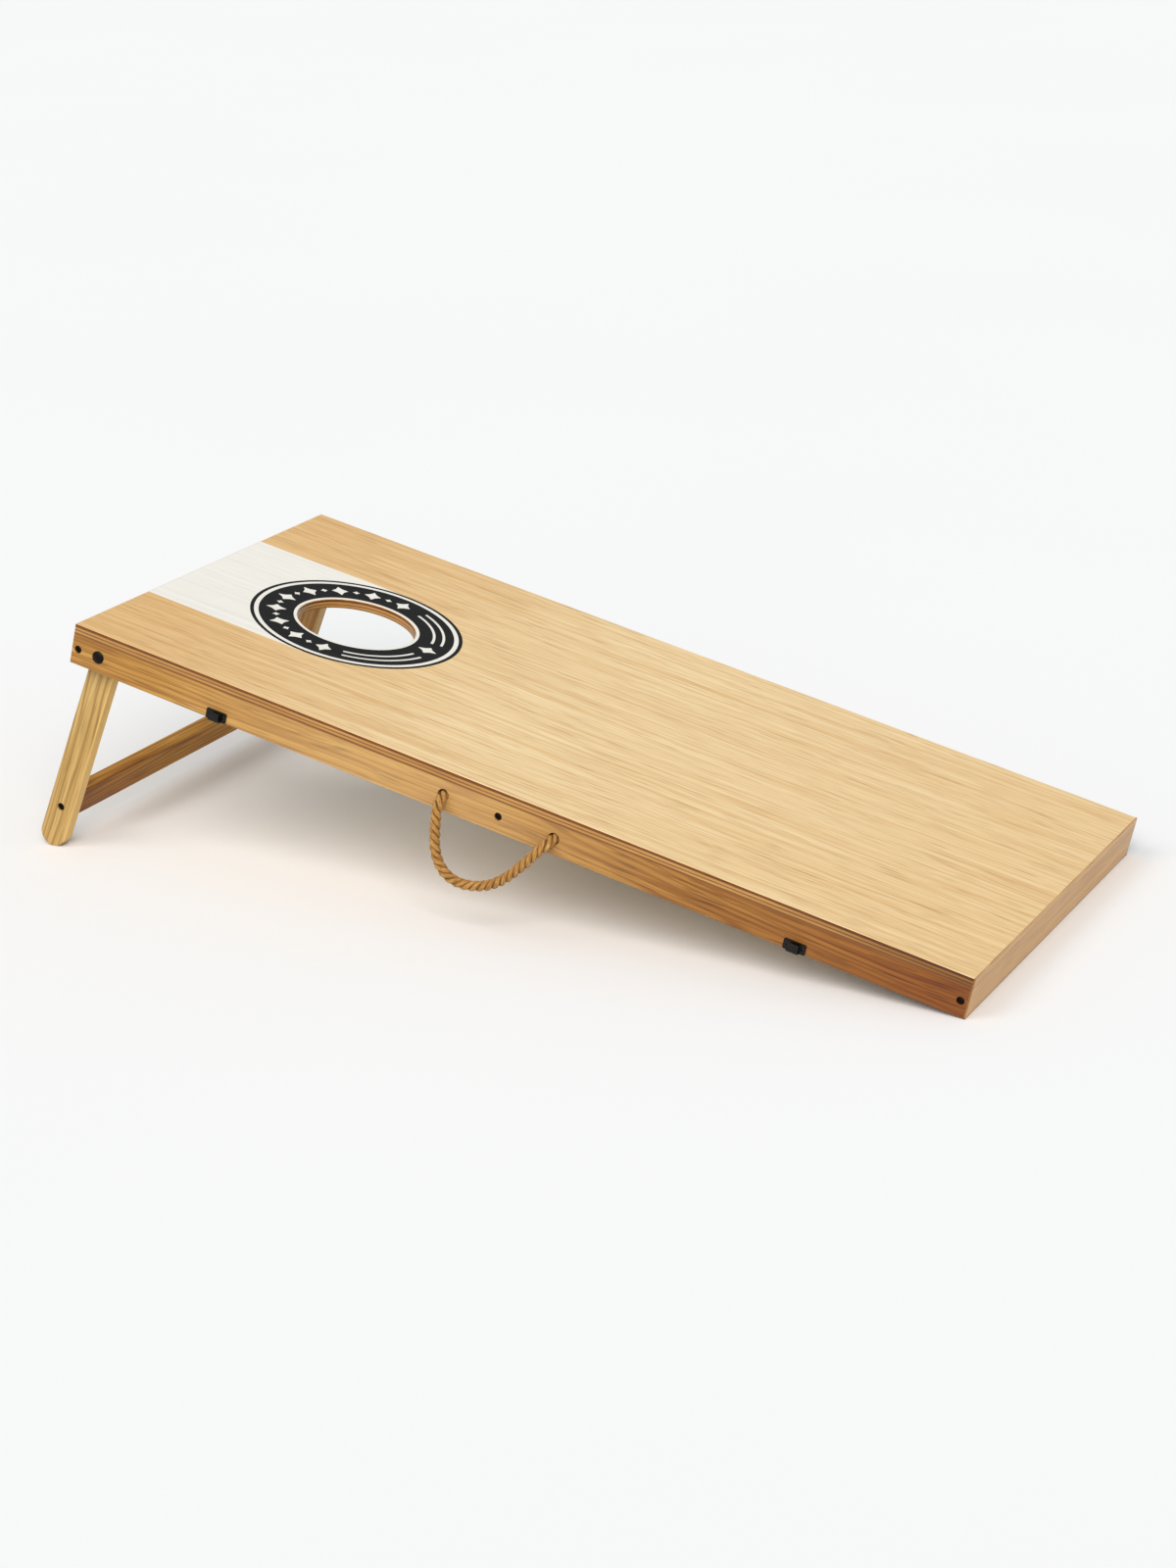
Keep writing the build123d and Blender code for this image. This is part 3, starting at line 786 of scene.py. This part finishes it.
def add_strand(rope_mesh, points, tangents, sides, step, strand, wobble, taper_end):
    """One strand laid round the rope's line, ridged by its yarns and uneven by the wobble."""
    line = []
    for i, (point, tangent, side) in enumerate(zip(points, tangents, sides)):
        angle = 2 * math.pi * (strand / STRANDS - i * step / PITCH)
        other = tangent.cross(side)
        line.append(point + STRAND_OFFSET * (math.cos(angle) * side + math.sin(angle) * other))
    strand_tangents, _ = carried_frames(line)
    first = len(rope_mesh.vertices)
    for i, (centre, tangent) in enumerate(zip(line, strand_tangents)):
        out = (centre - points[i]).normalized()
        over = tangent.cross(out).normalized()
        out = over.cross(tangent).normalized()
        fade = 1.0
        if taper_end:
            fade = min(1.0, TAPER_TO + (1 - TAPER_TO) * (len(line) - 1 - i) / TAPER_STEPS)
        swell = 1 + SWELL * math.sin(i * step * 410 + wobble)
        for k in range(AROUND_STRAND):
            turn = 2 * math.pi * k / AROUND_STRAND
            yarn = 1 + YARN_RIDGE * math.cos(YARNS * turn + i * step * 620)
            radius = STRAND_RADIUS * yarn * swell * fade
            place = centre + radius * (math.cos(turn) * out + math.sin(turn) * over)
            relief = (place - points[i]).length / (STRAND_OFFSET + STRAND_RADIUS)
            around = (2 * math.sin(turn) + strand, 2 * math.cos(turn) + strand)
            rope_mesh.point(place, (i * step, *around), relief)
    rope_mesh.skin(first, AROUND_STRAND, len(line))


def add_hair(rope_mesh, points, tangents, sides, step, rng):
    """One short stray fibre that leans away from the rope and thins towards its tip."""
    i = rng.randrange(BARE_END, len(points) - BARE_END)
    angle = rng.uniform(0, 2 * math.pi)
    tangent, side = tangents[i], sides[i]
    other = tangent.cross(side)
    out = math.cos(angle) * side + math.sin(angle) * other
    lean = tangent * rng.uniform(-1.6, 1.6) + out.cross(tangent) * rng.uniform(-1, 1)
    length = rng.uniform(0.0014, 0.0030)
    root = points[i] + out * HAIR_ROOT
    bends = [root + (out * t * 0.8 + lean * t * t * 0.7) * length for t in (0, 0.5, 1.0, 1.4)]
    first = len(rope_mesh.vertices)
    for t, bend in enumerate(bends):
        radius = HAIR_RADIUS * (1.1 - 0.3 * t)
        for k in range(AROUND_HAIR):
            turn = 2 * math.pi * k / AROUND_HAIR
            reach = radius * (math.cos(turn) * tangent + math.sin(turn) * other)
            rope_mesh.point(bend + reach, (i * step, 1.0, 5.0), 1.0)
    rope_mesh.skin(first, AROUND_HAIR, len(bends))


def laid_rope(name, line, hairs, seed, taper_end=False):
    """Three laid strands of ridged yarn along a line, with a few stray fibres."""
    rng = random.Random(seed)
    points = even_points(line, ROPE_STEP)
    tangents, sides = carried_frames(points)
    step = line_length(points) / (len(points) - 1)
    rope_mesh = RopeMesh()
    for strand in range(STRANDS):
        wobble = rng.random() * 6
        add_strand(rope_mesh, points, tangents, sides, step, strand, wobble, taper_end)
    for _ in range(hairs):
        add_hair(rope_mesh, points, tangents, sides, step, rng)
    piece = mesh_piece(
        name, rope_mesh.vertices, rope_mesh.faces, rope_fibre, "rope_fibre", smooth=True
    )
    strand = piece.data.attributes.new("strand", "FLOAT_VECTOR", "POINT")
    strand.data.foreach_set("vector", [value for values in rope_mesh.strand for value in values])
    relief = piece.data.attributes.new("relief", "FLOAT", "POINT")
    relief.data.foreach_set("value", rope_mesh.relief)
    return piece, points


KNOT_TURN = 54  # degrees from one point of the knot to the next
KNOT_RADIUS = 0.0112
KNOT_START = 0.0075
KNOT_RISE = 0.0013


def knot_route(hole):
    """A tight turn and a fifth round the rope's end, then out through its own middle."""
    centre = Vector(hole)
    route = [centre - 0.004 * ACROSS, centre + 0.003 * ACROSS]
    for step in range(9):
        angle = math.radians(KNOT_TURN * step)
        out = math.cos(angle) * UP + math.sin(angle) * ALONG
        route.append(centre + KNOT_RADIUS * out + (KNOT_START + KNOT_RISE * step) * ACROSS)
    route.append(centre + 0.0215 * ACROSS + 0.004 * UP)
    route.append(centre + 0.030 * ACROSS)
    route.append(centre + 0.0405 * ACROSS - 0.002 * UP)
    return route


def knot(name, hole, seed):
    line = line_points(name + "_line", knot_route(hole))
    piece, _ = laid_rope(name, line, hairs=30, seed=seed, taper_end=True)
    return piece


rope, rope_path = laid_rope("rope", line_points("rope_line", ROUTE), hairs=170, seed=3)
back_knot = knot("back_knot", BACK_HOLE, 5)
front_knot = knot("front_knot", FRONT_HOLE, 8)

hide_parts("rope_handle", "rope_back_end", "rope_front_end")
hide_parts("rope_back_knot")
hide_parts("rope_front_knot")

# The rope bends just outside its holes, down and away from the rail.
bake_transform(rope)

for piece in (stripe, black_band, white_lines, ornaments, back_knot, front_knot):
    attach(piece, "board")

# ---------------------------------------------------------------- floor

FLOOR = 40  # from the middle to each side
corners = [(-FLOOR, -FLOOR, 0), (FLOOR, -FLOOR, 0), (FLOOR, FLOOR, 0), (-FLOOR, FLOOR, 0)]
floor = mesh_piece("floor", corners, [(0, 1, 2, 3)], floor_material(), None)
